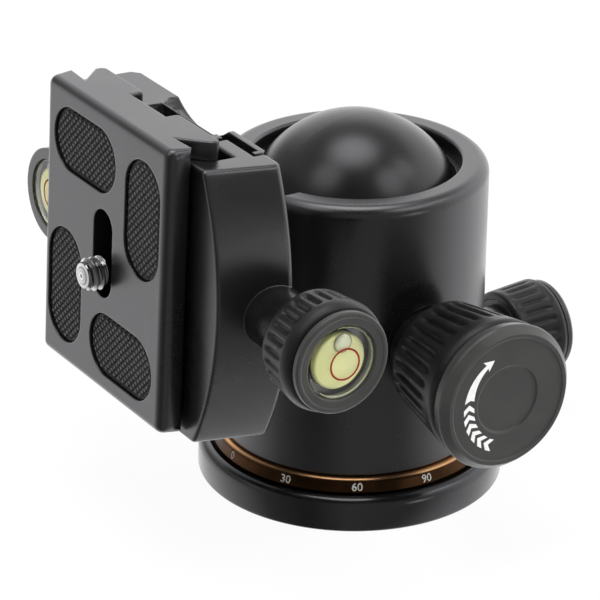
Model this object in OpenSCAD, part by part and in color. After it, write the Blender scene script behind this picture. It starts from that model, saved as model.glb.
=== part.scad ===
// Tripod ball head. A housing turns on a fixed base, and holds a ball that tilts on
// its stem and drops into a slot in the rim. The stem carries a screw clamp with two
// bubble levels, and the clamp's jaws hold a dovetail plate with the camera screw.
// Sizes are millimetres. The origin is the mouth of the thread in the base, +Z is the
// pan axis, the lock knob points to -Y and the drop slot to -X.
// The head's own pieces are drawn upright over the ball's centre, with the stem along
// +Z, the plate's length along X and the clamp knob towards -Y, and head_tilt then
// lays them over into the slot.

/* [Base] */
// Radius of the base flange
base_r = 30; // [29:0.5:36]
// Height of the flange's upright side
base_side_h = 5.4; // [4.5:0.1:6]
// Radius of the rounded shoulder on the flange
shoulder_r = 1.5; // [0.5:0.1:1.5]
// Height at which the housing starts to turn over the base
pan_h = 9.8; // [9.5:0.1:11]
// Outer radius of the scale ring at its foot
scale_r = 27.4; // [26.5:0.1:28]
// Radius of the steel bushing that holds the tripod thread
bushing_r = 7; // [6:0.1:8]
// Radius of the tripod thread's hole, 3/8 inch with 16 threads
base_thread_r = 3.97; // [2.6:0.01:4.8]
// Depth of the tripod thread
base_thread_depth = 12; // [8:0.5:14]
// Radius of the spindle that the housing turns on
spindle_r = 13.9; // [12:0.1:15]

/* [Housing] */
// Outer radius of the housing
housing_r = 25.6; // [25:0.1:27]
// Height of the housing's rim
rim_z = 65.3; // [64:0.1:68]
// Radius of the opening in the rim
mouth_r = 20.3; // [19.6:0.1:20.8]
// Rounding of the rim's outer edge
rim_round = 2.3; // [0.5:0.1:2.8]
// Thickness of the screwed-in floor
floor_t = 12.2; // [11.4:0.1:13]
// Half the width of the drop slot
slot_half_w = 9.4; // [8.8:0.1:11]

/* [Ball] */
// Radius of the ball
ball_r = 21.2; // [20.8:0.1:21.4]
// Height of the ball's centre
ball_z = 52.7; // [52:0.1:53.5]
// Radius of the stem
stem_r = 8; // [6:0.1:8.4]
// Tilt of the stem from upright, at rest
head_tilt = 87.6; // [0:0.1:90]

/* [Knobs] */
// Height of the lock knob's axis
lock_z = 35.8; // [34:0.1:37]
// Radius of the lock knob at the housing
lock_rear_r = 11.1; // [10.5:0.1:13]
// Radius of the lock knob's cap
lock_cap_r = 14.3; // [13.5:0.1:15]
// Reach of the lock knob from the pan axis
lock_reach = 52.4; // [50:0.1:56]
// Radius of the shallow dish in the lock knob's face
dish_r = 6.8; // [4:0.1:8]
// Height of the pan knob's axis
pan_z = 18.5; // [17.5:0.1:19]
// Radius of the pan knob
pan_knob_r = 9.8; // [9:0.1:10.8]
// Reach of the pan knob from the pan axis
pan_reach = 47.5; // [45:0.1:52]
// Number of ribs on the lock knob
lock_ribs = 30; // [16:1:36]
// Number of ribs on the clamp knob and the pan knob
small_ribs = 26; // [16:1:30]
// Radius of the lock knob's screw
lock_screw_r = 2.9; // [2:0.1:3.4]
// Radius of the pan knob's screw
pan_screw_r = 2.4; // [1.8:0.1:2.8]

/* [Clamp] */
// Height of the clamp's top face over the ball's centre
deck_h = 43.4; // [42:0.1:45]
// Half the length of the clamp's jaws
jaw_half_l = 26.7; // [22:0.1:27]
// Distance of the fixed jaw's outer face from the stem's axis
fixed_jaw_a = 25.4; // [24.5:0.1:28]
// Distance of the moving jaw's bulge from the stem's axis
jaw_bulge_a = 34.3; // [33:0.1:38]
// Radius of the bow along the moving jaw's outer face
jaw_bow_r = 58; // [50:1:80]
// Height of the clamp knob's axis over the ball's centre
clamp_knob_h = 38.7; // [38.5:0.1:39]
// Radius of the clamp knob at the jaw
clamp_knob_r = 9.9; // [9:0.1:10.2]
// Reach of the clamp knob from the stem's axis
clamp_reach = 56; // [54:0.1:60]
// Radius of the clamp knob's screw
clamp_screw_r = 2.5; // [1.8:0.1:2.6]
// Radius of the jaw's guide pins
guide_r = 1.5; // [1:0.1:1.6]

/* [Levels] */
// Radius of a bubble level
vial_r = 7; // [5:0.1:7.2]
// Thickness of a bubble level
vial_t = 3.6; // [2.5:0.1:4]
// Radius of the side level's holder
level_r = 9.2; // [8.2:0.1:10]
// Distance of the side level from the stem's axis
level_a = 34.8; // [34:0.1:38]
// Height of the side level's face over the ball's centre
level_h = 47.5; // [46:0.1:49]

/* [Plate] */
// Half the plate's width
plate_half_w = 22.6; // [21.6:0.1:24]
// Half the plate's length
plate_half_l = 27.8; // [27.2:0.1:32]
// Thickness of the whole plate
plate_t = 11.6; // [11:0.1:13]
// Thickness of the plate's top slab
slab_t = 4.9; // [4:0.1:5.2]
// Half the width of the plate's dovetail
dovetail_half_w = 21.2; // [20:0.1:21.4]
// Offset of the plate from the clamp's middle along its length, at rest
plate_shift = 2.3; // [-4:0.1:4]
// Offset of the plate from the stem's axis across its length
plate_offset = 0.5; // [0:0.1:1]
// Length of the screw's slot
slot_l = 17.4; // [12:0.1:18]
// Width of the screw's slot
slot_w = 7; // [6.8:0.1:8]
// Length of a rubber pad
pad_l = 23.1; // [20:0.1:23.4]
// Width of a rubber pad
pad_w = 12.6; // [10:0.1:12.8]
// Radius of the camera screw, 1/4 inch with 20 threads
camera_screw_r = 3.175; // [2.9:0.025:3.3]
// How far the camera screw stands over the plate
camera_screw_out = 4.4; // [3:0.1:6]
// Place of the camera screw along the slot, from its middle
screw_at = -3.7; // [-4.5:0.1:4.5]

/* [Fits] */
// Clearance of a shaft in its hole
running = 0.1; // [0.02:0.01:0.1]
// Gap between pieces that lie against each other
seat_gap = 0.1; // [0.05:0.01:0.2]
// Gap between the ball and its seats
ball_gap = 0.2; // [0.1:0.05:0.3]
// Gap between moving outer faces
free_gap = 0.4; // [0.3:0.05:0.6]

/* [Hidden] */
$fn = 96;
small = 32;
over = 1;

// Base
ring_foot_z = base_side_h + shoulder_r;
ring_seat_r = scale_r - 3.4;
washer_t = 0.45;
washer_z = pan_h - 0.05 - washer_t;
spindle_top = pan_h + floor_t + 0.3;
spindle_washer_t = 2;
spindle_washer_r = spindle_r + 4.1;
spindle_screw_ring = 9.6;
spindle_screw_r = 1.5;
spindle_screw_l = 6;
screw_head_side = 1.85;
pan_groove_depth = 1;
pan_groove_half = 3.2;

// Housing
bore_r = ball_r + 0.7;
lip_t = 3.4;
lip_z = rim_z - lip_t;
seat_t = 6.4;
plug_r = bore_r - running;
plug_top = pan_h + floor_t;
lock_bush_r = lock_screw_r + 3.3;
pan_bush_r = pan_screw_r + 2.6;
bush_flange = 1.6;
bush_foot = bore_r + 0.1;
knob_gap = 0.5;
wall_flat_y = housing_r - 0.5;

// Ball cup: the face under it slopes at 45 degrees, and the wedge's tip matches it
cup_r = bore_r - running;
cup_foot_r = 15.5;
cup_foot_z = lock_z - 4.3;
cup_top = ball_z - 7.7;
cup_hole_r = 12;
wedge_tip = cup_foot_r + lock_z - cup_foot_z + 0.3;
wedge_rear = wedge_tip + 5.9;
spring_wire = 0.8;
spring_r = bore_r - 1.8;
spring_floor = plug_top + seat_gap + spring_wire;
spring_rise = cup_foot_z + 2.3 - spring_floor;
spring_loops = 9;

// Lock knob, along its axis from the pan axis
lock_rear = housing_r + 4.6;
lock_cap_t = 4.2;
lock_grip_end = lock_reach - lock_cap_t;
lock_core_r = lock_rear_r - 1.8;
lock_face_r = lock_cap_r - 1.3;

// Pan knob, along its axis from the pan axis
pan_rear = housing_r + 9.8;
pan_cap_t = 1.4;
pan_core_r = pan_knob_r - 2.2;
pan_face_r = pan_knob_r - 1;
pad_face = spindle_r - pan_groove_depth + seat_gap;
pan_pad_l = 3.4;

// Clamp: heights over the ball's centre and distances a from the stem's axis
plate_top = deck_h + 0.2 + plate_t;
slab_foot = plate_top - slab_t;
deck_t = 5.4;
deck_foot = deck_h - deck_t;
under_h = 34.4;
groove_a = dovetail_half_w - 4.5;
flange_h = slab_foot - 4.6;
jaw_play = 0.15;
lip_top = slab_foot - 0.5;
lip_reach = 2.6;
stem_top = 35;
stem_foot = 17;
stem_screw_r = 2.4;
stem_screw_l = 11;
stem_head_r = 5;
stem_head_t = 2.6;
hub_r = 12.5;
shelf_foot = under_h;
shelf_top = 36.9;
shelf_in = 7;
shelf_out = 21.5;
shelf_wall = 1.1;
pocket_depth = 5;
jaw_foot = shelf_top + free_gap;
jaw_base_top = 41;
jaw_in = 12.8;
deck_out = 11.9;
jaw_wall_in = dovetail_half_w - plate_offset + jaw_play;
jaw_lean = 2.4;
guide_h = jaw_foot + 1.9;
guide_x = 17;
guide_in = -2;
guide_out = jaw_in + 10;
spring_in = deck_out - 4.4;
spring_out = jaw_in + 3.2;
jaw_round = 1.6;
skirt_foot = shelf_foot + 0.6;
skirt_in = shelf_out + free_gap;
boss_r = 6;
clamp_rear = 44.5;
boss_out = clamp_rear - free_gap;
clamp_grip_end = clamp_reach - 3.4;
clamp_wide_r = clamp_knob_r + 0.7;
bezel_r = clamp_knob_r - 0.3;
scoop_r = 9.5;
scoop_x = jaw_half_l + 2.5;
brim_r = 16.4;
brim_depth = 3.4;
brim_t = 3.4;
level_foot = 38.6;

// Plate
recess_half_w = 6.2;
recess_h = 2.7;
recess_round = 0.9;
slab_round = 2;
pad_depth = 1.2;
pad_sunk = 0.25;
pad_gap = 0.15;
pad_long = [7.5, 17.8];
pad_cross = [13.9, 11.7];
screw_head_r = recess_half_w - 0.5;
screw_head_t = 1.8;
screw_neck_r = 2.5;
screw_neck_top = 0.2;
clip_t = 0.5;
clip_r = 5.2;

// Points of a rounded corner: centre, radius, first and last angle
function arc(c, r, from, to, n = 8) =
    [for (i = [0:n]) let (t = from + (to - from) * i / n) c + r * [cos(t), sin(t)]];

// Placing: knobs are drawn along +Z, from the pan axis or the stem's axis outwards
module at_lock() { translate([0, 0, lock_z]) rotate([90, 0, 0]) children(); }
module at_pan() { translate([0, 0, pan_z]) rotate([0, 90, 0]) children(); }
module at_clamp_knob() { translate([0, 0, clamp_knob_h]) rotate([90, 0, 0]) children(); }
module on_head() { translate([0, 0, ball_z]) rotate([0, -head_tilt, 0]) children(); }
// Lays an outline of distance a and height along the clamp's length
module along_jaws(l) { rotate([90, 0, -90]) linear_extrude(l, center = true) children(); }
module on_plate() { translate([plate_shift, plate_offset, plate_top]) children(); }
module ring(outer, inner, z, t) {
    translate([0, 0, z]) difference() {
        cylinder(r = outer, h = t);
        translate([0, 0, -over]) cylinder(r = inner, h = t + 2 * over);
    }
}
// A slot's or pad's outline, l long in X and w wide
module obround(l, w) {
    square([l - w, w], center = true);
    for (x = [-1, 1]) translate([x * (l - w) / 2, 0]) circle(d = w);
}
// A ribbed rubber sleeve round a core, cone-shaped, with a beveled front
module ribbed_sleeve(from, to, rear_r, front_r, core_r, ribs) {
    bevel = 1.4;
    groove_w = 1.05;
    groove_depth = 0.55;
    mean_r = (rear_r + front_r) / 2;
    lean = atan2(front_r - rear_r, to - from);
    difference() {
        rotate_extrude() polygon(concat(
            [[core_r + seat_gap, from], [rear_r - 0.8, from]],
            arc([rear_r - 0.8, from + 0.8], 0.8, -90, 0, 5),
            [[front_r, to - bevel], [front_r - 0.9, to], [core_r + seat_gap, to]]));
        for (i = [0:ribs - 1]) rotate([0, 0, i * 360 / ribs])
            translate([mean_r - groove_depth, 0, (from + to) / 2 - 0.4])
                rotate([0, lean, 0])
                    translate([over, 0, 0])
                        cube([2 * over, groove_w, to - from - 4.2], center = true);
    }
}

// Fixed base
module base_flange() {
    color("#1b1b1d") difference() {
        rotate_extrude() polygon(concat(
            [[bushing_r, 0]],
            arc([base_r - 0.6, 0.6], 0.6, -90, 0, 4),
            arc([base_r - shoulder_r, base_side_h], shoulder_r, 0, 90, 8),
            [[scale_r + 0.5, ring_foot_z - 0.25], [scale_r - 0.2, ring_foot_z - 0.3],
             [ring_seat_r, ring_foot_z - 0.3], [ring_seat_r, washer_z - seat_gap],
             [bushing_r, washer_z - seat_gap]]));
        translate([0, 0, -over]) cylinder(r = bushing_r + seat_gap, h = pan_h + 2 * over);
    }
}
module scale_ring() {
    color("#b87345") rotate_extrude() polygon(concat(
        [[ring_seat_r + seat_gap, ring_foot_z - 0.3 + seat_gap],
         [scale_r - 0.3, ring_foot_z - 0.3 + seat_gap], [scale_r, ring_foot_z + 0.3]],
        arc([housing_r + 0.2, pan_h - 1.2], 1.1, 25, 90, 6),
        [[ring_seat_r + seat_gap, pan_h - 0.1]]));
}
module thread_bushing() {
    color("#8f9296") difference() {
        cylinder(r = bushing_r, h = base_thread_depth + 2);
        translate([0, 0, -over]) cylinder(r = base_thread_r, h = base_thread_depth + over);
    }
}
module pan_spindle() {
    foot = washer_z;
    color("#7c7e82") difference() {
        translate([0, 0, foot]) cylinder(r = spindle_r, h = spindle_top - foot);
        translate([0, 0, foot - over])
            cylinder(r = bushing_r + seat_gap, h = base_thread_depth + 2.2 - foot + over);
        rotate_extrude() polygon([
            [spindle_r - pan_groove_depth, pan_z - pan_groove_half + pan_groove_depth],
            [spindle_r + over, pan_z - pan_groove_half - over],
            [spindle_r + over, pan_z + pan_groove_half + over],
            [spindle_r - pan_groove_depth, pan_z + pan_groove_half - pan_groove_depth]]);
        for (i = [0:2]) rotate([0, 0, 120 * i])
            translate([spindle_screw_ring, 0, spindle_top - spindle_screw_l - 0.4])
                cylinder(r = spindle_screw_r + seat_gap / 2, h = spindle_screw_l + over, $fn = small);
    }
}
module pan_washer() {
    color("#e8e6df") ring(ring_seat_r - 0.4, spindle_r + 0.3, washer_z, washer_t);
}
module spindle_washer() {
    color("#9a9da1") difference() {
        translate([0, 0, spindle_top + 0.02]) cylinder(r = spindle_washer_r, h = spindle_washer_t);
        for (i = [0:2]) rotate([0, 0, 120 * i])
            translate([spindle_screw_ring, 0, spindle_top - over])
                cylinder(r = spindle_screw_r + 0.2, h = spindle_washer_t + 3 * over, $fn = small);
    }
}
module spindle_screws() {
    color("#55585c") for (i = [0:2]) rotate([0, 0, 120 * i])
        translate([spindle_screw_ring, 0, spindle_top - spindle_screw_l]) {
            cylinder(r = spindle_screw_r, h = spindle_screw_l + spindle_washer_t + 0.1, $fn = small);
            translate([0, 0, spindle_screw_l + spindle_washer_t + 0.05])
                cylinder(r = screw_head_side * spindle_screw_r, h = spindle_screw_r, $fn = small);
        }
}

// Turning housing
module housing() {
    slot_top = rim_z + over;
    color("#161618") difference() {
        rotate_extrude() polygon(concat(
            [[bore_r, pan_h], [housing_r - 0.3, pan_h], [housing_r, pan_h + 0.3]],
            arc([housing_r - rim_round, rim_z - rim_round], rim_round, 0, 90, 10),
            arc([mouth_r + 0.6, rim_z - 0.6], 0.6, 90, 180, 5),
            [[mouth_r, lip_z], [bore_r, lip_z]]));
        translate([-housing_r - over, -slot_half_w, ball_z])
            cube([housing_r, 2 * slot_half_w, slot_top - ball_z]);
        translate([-housing_r - over, 0, ball_z]) rotate([0, 90, 0])
            cylinder(r = slot_half_w, h = housing_r);
        at_lock() cylinder(r = lock_bush_r + 0.02, h = housing_r + over);
        at_lock() translate([0, 0, wall_flat_y])
            cylinder(r = lock_bush_r + bush_flange + 0.3, h = 3 * over);
        at_pan() cylinder(r = pan_bush_r + 0.02, h = housing_r + over);
        at_pan() translate([0, 0, wall_flat_y])
            cylinder(r = pan_bush_r + bush_flange + 0.3, h = 3 * over);
    }
}
module floor_plug() {
    color("#6d7075") difference() {
        ring(plug_r, spindle_r + running, pan_h, floor_t);
        at_pan() cylinder(r = pan_screw_r + 0.9, h = plug_r + over, $fn = small);
        for (x = [-1, 1]) translate([x * (spindle_r + 4), 0, pan_h - over])
            cylinder(r = 1.2, h = 4, $fn = small);
    }
}
module ball_seat() {
    color("#d9d4c4") difference() {
        ring(bore_r - seat_gap, cup_hole_r, lip_z - seat_t, seat_t - 0.05);
        translate([0, 0, ball_z]) sphere(r = ball_r + ball_gap);
        translate([-bore_r - over, -slot_half_w - 0.3, ball_z - over])
            cube([bore_r, 2 * slot_half_w + 0.6, rim_z]);
    }
}
module lock_bush() {
    color("#b9975a") at_lock() difference() {
        union() {
            translate([0, 0, bush_foot])
                cylinder(r = lock_bush_r, h = lock_rear - knob_gap - bush_foot);
            translate([0, 0, wall_flat_y + seat_gap / 2])
                cylinder(r = lock_bush_r + bush_flange,
                    h = lock_rear - knob_gap - wall_flat_y - seat_gap / 2);
        }
        cylinder(r = lock_screw_r + running, h = lock_rear + over);
    }
}
module pan_bush() {
    color("#26262a") at_pan() difference() {
        union() {
            translate([0, 0, bush_foot])
                cylinder(r = pan_bush_r, h = pan_rear - knob_gap - bush_foot);
            translate([0, 0, wall_flat_y + seat_gap / 2])
                cylinder(r = pan_bush_r + bush_flange,
                    h = pan_rear - knob_gap - wall_flat_y - seat_gap / 2);
        }
        cylinder(r = pan_screw_r + running, h = pan_rear + over);
    }
}
module cup_spring() {
    color("#a9acb0") for (i = [0:spring_loops - 1])
        translate([0, 0, spring_floor + i * spring_rise / (spring_loops - 1)])
            rotate_extrude() translate([spring_r, 0]) circle(r = spring_wire, $fn = small);
}
module ball_cup() {
    color("#cfc9b8") difference() {
        rotate_extrude() polygon([[cup_hole_r, cup_foot_z], [cup_foot_r, cup_foot_z],
            [cup_r, cup_foot_z + cup_r - cup_foot_r], [cup_r, cup_top], [cup_hole_r, cup_top]]);
        translate([0, 0, ball_z]) sphere(r = ball_r + ball_gap);
    }
}

// Lock knob
module lock_wedge() {
    color("#c4c6c9") at_lock() {
        translate([0, 0, wedge_tip]) cylinder(r1 = 0.01, r2 = lock_screw_r, h = lock_screw_r);
        translate([0, 0, wedge_tip + lock_screw_r])
            cylinder(r = lock_screw_r, h = wedge_rear - wedge_tip - lock_screw_r);
    }
}
module lock_knob_core() {
    color("#3a3c40") at_lock() {
        translate([0, 0, wedge_rear + seat_gap])
            cylinder(r = lock_screw_r, h = lock_rear - wedge_rear + over);
        translate([0, 0, lock_rear]) cylinder(r = lock_core_r, h = lock_grip_end - lock_rear);
    }
}
module lock_knob_grip() {
    color("#202022") at_lock()
        ribbed_sleeve(lock_rear, lock_grip_end, lock_rear_r, lock_cap_r - 0.5, lock_core_r, lock_ribs);
}
module lock_knob_cap() {
    foot = lock_grip_end + seat_gap;
    color("#2b2b2e") at_lock() rotate_extrude() polygon(concat(
        [[0, foot], [lock_cap_r - 0.9, foot], [lock_cap_r - 0.5, foot + 0.3]],
        arc([lock_cap_r - 1, lock_reach - 1.9], 1, 0, 50, 5),
        [[lock_face_r, lock_reach], [lock_face_r - 0.7, lock_reach],
         [lock_face_r - 0.9, lock_reach - 0.3], [dish_r, lock_reach - 0.3],
         [dish_r - 0.4, lock_reach - 0.7], [0, lock_reach - 0.7]]));
}

// Pan knob
module pan_pad() {
    color("#c59b54") at_pan() translate([0, 0, pad_face])
        cylinder(r = pan_screw_r - 0.2, h = pan_pad_l, $fn = small);
}
module pan_knob_core() {
    color("#3a3c40") at_pan() {
        translate([0, 0, pad_face + pan_pad_l + seat_gap])
            cylinder(r = pan_screw_r, h = pan_rear - pad_face - pan_pad_l + over);
        translate([0, 0, pan_rear]) cylinder(r = pan_core_r, h = pan_reach - pan_cap_t - pan_rear);
    }
}
module pan_knob_grip() {
    color("#202022") at_pan() ribbed_sleeve(pan_rear, pan_reach - pan_cap_t,
        pan_knob_r - 0.6, pan_knob_r, pan_core_r, small_ribs);
}
module pan_knob_cap() {
    foot = pan_reach - pan_cap_t + seat_gap;
    color("#2b2b2e") at_pan() rotate_extrude() polygon([[0, foot], [pan_face_r + 0.4, foot],
        [pan_face_r + 0.4, pan_reach - 0.5], [pan_face_r, pan_reach], [pan_face_r - 0.8, pan_reach],
        [pan_face_r - 1, pan_reach - 0.3], [0, pan_reach - 0.3]]);
}

// Ball and stem
module ball() {
    color("#111113") on_head() difference() {
        union() {
            sphere(r = ball_r);
            translate([0, 0, stem_foot]) cylinder(r = stem_r, h = stem_top - stem_foot);
        }
        translate([0, 0, stem_top - stem_screw_l - over])
            cylinder(r = stem_screw_r + seat_gap / 2, h = stem_screw_l + 2 * over, $fn = small);
    }
}
module stem_screw() {
    head_z = deck_h - stem_head_t - 0.4;
    color("#8d9094") on_head() difference() {
        union() {
            translate([0, 0, stem_top - stem_screw_l])
                cylinder(r = stem_screw_r, h = head_z - stem_top + stem_screw_l + 0.1, $fn = small);
            translate([0, 0, head_z]) cylinder(r = stem_head_r, h = stem_head_t);
        }
        translate([0, 0, head_z + 1]) cylinder(r = 2.3, h = 4, $fn = 6);
    }
}

// Clamp
module fixed_jaw_outline() {
    a0 = -plate_offset;
    // The fixed jaw and the deck, with the lip that holds the dovetail's far side
    polygon([[-fixed_jaw_a, under_h + 1.5], [-fixed_jaw_a + 1.5, under_h], [-hub_r + 1, under_h],
        [-hub_r + 4, deck_foot], [deck_out, deck_foot], [deck_out, deck_h],
        [a0 - dovetail_half_w - 0.1, deck_h],
        [a0 - dovetail_half_w - 0.1, flange_h + 0.1],
        [a0 - groove_a - lip_reach + 1.1, lip_top], [-fixed_jaw_a + 1, lip_top],
        [-fixed_jaw_a, lip_top - 1]]);
}
// The plate under the deck, which ends in the shelf that the moving jaw slides over
module underside_outline() {
    polygon([[-hub_r, under_h], [shelf_out - 0.8, shelf_foot], [shelf_out, shelf_foot + 0.8],
        [shelf_out, shelf_top], [deck_out, shelf_top], [deck_out, deck_foot + over],
        [4 - hub_r, deck_foot + over]]);
}
module clamp_body() {
    color("#141416") on_head() difference() {
        union() {
            difference() {
                along_jaws(2 * jaw_half_l) fixed_jaw_outline();
                for (x = [-1, 1]) translate([x * scoop_x, -1, under_h - over])
                    cylinder(r = scoop_r, h = deck_h - under_h + 2 * over);
            }
            difference() {
                along_jaws(2 * jaw_half_l) underside_outline();
                for (x = [-1, 1])
                    translate([x * (jaw_half_l - brim_depth + brim_r), 0, under_h - over])
                        cylinder(r = brim_r, h = brim_t + 2 * over);
            }
            // Holder of the side level
            translate([0, level_a, level_foot]) cylinder(r = level_r, h = level_h - level_foot);
            translate([-level_r + 1, fixed_jaw_a - over, level_foot])
                cube([2 * level_r - 2, level_a - fixed_jaw_a + over, level_h - level_foot]);
        }
        // Pockets in the ends of the shelf that the moving jaw slides over
        for (x = [-1, 1]) translate([x * jaw_half_l, -(shelf_in + shelf_out) / 2, 0])
            translate([0, 0, shelf_foot + shelf_wall + (shelf_top - shelf_foot) / 2])
                cube([2 * pocket_depth, shelf_out - shelf_in - 2 * shelf_wall,
                    shelf_top - shelf_foot], center = true);
        translate([0, level_a, level_h - vial_t])
            cylinder(r = vial_r + seat_gap, h = vial_t + over);
        translate([0, 0, under_h - over]) cylinder(r = stem_screw_r + 0.3, h = 12);
        translate([0, 0, deck_h - stem_head_t - 0.6]) cylinder(r = stem_head_r + 0.3, h = 6);
        translate([0, 0, under_h - over])
            cylinder(r = stem_r + free_gap, h = stem_top + free_gap / 2 - under_h + over);
        at_clamp_knob() translate([0, 0, stem_head_r + 1.5])
            cylinder(r = clamp_screw_r + running, h = 20);
        for (x = [-1, 1]) translate([x * guide_x, 0, guide_h]) rotate([90, 0, 0]) {
            translate([0, 0, guide_in]) cylinder(r = guide_r + 0.02, h = 20, $fn = small);
            translate([0, 0, spring_in]) cylinder(r = guide_r + 1, h = 20, $fn = small);
        }
    }
}
module guide_pins() {
    color("#b4b7ba") on_head() for (x = [-1, 1]) translate([x * guide_x, 0, guide_h])
        rotate([90, 0, 0]) translate([0, 0, guide_in + 0.1])
            cylinder(r = guide_r, h = guide_out - guide_in, $fn = small);
}
module jaw_springs() {
    wire = 0.35;
    loops = 11;
    color("#a9acb0") on_head() for (x = [-1, 1]) translate([x * guide_x, 0, guide_h])
        rotate([90, 0, 0]) for (i = [0:loops])
            translate([0, 0, spring_in + 0.45 + i * (spring_out - spring_in - 0.9) / loops])
                rotate_extrude() translate([guide_r + 0.55, 0]) circle(r = wire + 0.05, $fn = 16);
}
module side_level_vial() {
    color([0.87, 0.92, 0.45, 0.8]) on_head() translate([0, level_a, level_h - vial_t + 0.05])
        cylinder(r = vial_r, h = vial_t - 0.35);
}
module jaw_outline() {
    a0 = -plate_offset;
    polygon([[jaw_in, jaw_foot], [jaw_bulge_a + 3, jaw_foot], [jaw_bulge_a + 3, lip_top],
        [a0 + groove_a + lip_reach - 1.1 + jaw_play, lip_top],
        [jaw_wall_in, flange_h + 0.1], [jaw_wall_in, jaw_base_top], [jaw_in, jaw_base_top]]);
}
// Section of the bowed outer face, from the bow's axis outwards
module jaw_face() {
    polygon(concat([[0, skirt_foot]],
        arc([jaw_bow_r - jaw_round, skirt_foot + jaw_round], jaw_round, -90, 0, 6),
        arc([jaw_bow_r - jaw_lean - jaw_round / 2, lip_top - jaw_round / 2], jaw_round / 2, 0, 90, 4),
        [[0, lip_top]]));
}
module clamp_jaw() {
    bow_a = jaw_bulge_a - jaw_bow_r;
    color("#141416") on_head() difference() {
        union() {
            intersection() {
                along_jaws(2 * jaw_half_l) jaw_outline();
                translate([0, -bow_a, 0]) rotate_extrude($fn = 192) jaw_face();
            }
            // Skirt behind the jaw's wall, down past the shelf
            intersection() {
                along_jaws(2 * jaw_half_l) polygon([[skirt_in, skirt_foot],
                    [jaw_bulge_a + 3, skirt_foot], [jaw_bulge_a + 3, jaw_foot + over],
                    [skirt_in, jaw_foot + over]]);
                translate([0, -bow_a, 0]) rotate_extrude($fn = 192) jaw_face();
            }
            at_clamp_knob() translate([0, 0, jaw_wall_in + 2])
                cylinder(r = boss_r, h = boss_out - jaw_wall_in - 2);
        }
        at_clamp_knob() cylinder(r = clamp_screw_r + running, h = clamp_rear);
        for (x = [-1, 1]) translate([x * guide_x, 0, guide_h]) rotate([90, 0, 0]) {
            translate([0, 0, jaw_in - over])
                cylinder(r = guide_r + running, h = guide_out - jaw_in + 2 * over, $fn = small);
            translate([0, 0, jaw_in - over])
                cylinder(r = guide_r + 1, h = spring_out - jaw_in + over, $fn = small);
        }
    }
}
module clamp_knob_core() {
    screw_in = stem_head_r + 2;
    color("#3a3c40") on_head() at_clamp_knob() {
        translate([0, 0, screw_in]) cylinder(r = clamp_screw_r, h = clamp_rear - screw_in + over);
        translate([0, 0, clamp_rear])
            cylinder(r = clamp_knob_r - 2, h = clamp_grip_end - vial_t - clamp_rear + 2.2);
    }
}
module clamp_knob_grip() {
    color("#202022") on_head() at_clamp_knob()
        ribbed_sleeve(clamp_rear, clamp_grip_end, clamp_knob_r, clamp_wide_r, clamp_knob_r - 2, small_ribs);
}
module clamp_knob_bezel() {
    foot = clamp_grip_end + seat_gap;
    color("#2b2b2e") on_head() at_clamp_knob() difference() {
        rotate_extrude() polygon(concat([[0, foot - 1.2], [clamp_knob_r - 2.1, foot - 1.2],
            [clamp_knob_r - 2.1, foot], [bezel_r - 0.1, foot], [bezel_r + 0.1, foot + 0.4]],
            arc([bezel_r - 0.6, clamp_reach - 0.9], 0.9, 20, 90, 6),
            [[bezel_r - 1.1, clamp_reach], [bezel_r - 1.5, clamp_reach - 0.4], [0, clamp_reach - 0.4]]));
        translate([0, 0, clamp_reach - 0.5 - vial_t]) cylinder(r = vial_r + seat_gap, h = vial_t + over);
    }
}
module knob_level_vial() {
    color([0.87, 0.92, 0.45, 0.8]) on_head() at_clamp_knob()
        translate([0, 0, clamp_reach - 0.45 - vial_t]) cylinder(r = vial_r, h = vial_t - 0.25);
}

// Plate
module plate_outline() {
    polygon(concat(
        arc([-recess_half_w - recess_round, recess_round - plate_t], recess_round, -90, 0, 5),
        [[-recess_half_w, recess_h - plate_t], [recess_half_w, recess_h - plate_t]],
        arc([recess_half_w + recess_round, recess_round - plate_t], recess_round, 180, 270, 5),
        [[dovetail_half_w - 0.8, -plate_t], [dovetail_half_w, -plate_t + 0.8],
         [dovetail_half_w, flange_h - plate_top], [groove_a, -slab_t],
         [plate_half_w - 0.6, -slab_t], [plate_half_w, 0.6 - slab_t]],
        arc([plate_half_w - slab_round, -slab_round], slab_round, 0, 90, 8),
        arc([slab_round - plate_half_w, -slab_round], slab_round, 90, 180, 8),
        [[-plate_half_w, 0.6 - slab_t], [0.6 - plate_half_w, -slab_t], [-groove_a, -slab_t],
         [-dovetail_half_w, flange_h - plate_top], [-dovetail_half_w, -plate_t + 0.8],
         [0.8 - dovetail_half_w, -plate_t]]));
}
module camera_plate() {
    color("#19191b") on_head() on_plate() difference() {
        along_jaws(2 * plate_half_l) plate_outline();
        translate([0, 0, -plate_t - over]) linear_extrude(plate_t + 2 * over) obround(slot_l, slot_w);
        for (s = [-1, 1]) {
            translate([s * pad_long[1], s * pad_long[0], -pad_depth])
                linear_extrude(pad_depth + over) rotate(90) obround(pad_l, pad_w);
            translate([s * pad_cross[1], -s * pad_cross[0], -pad_depth])
                linear_extrude(pad_depth + over) obround(pad_l, pad_w);
        }
    }
}
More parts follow.
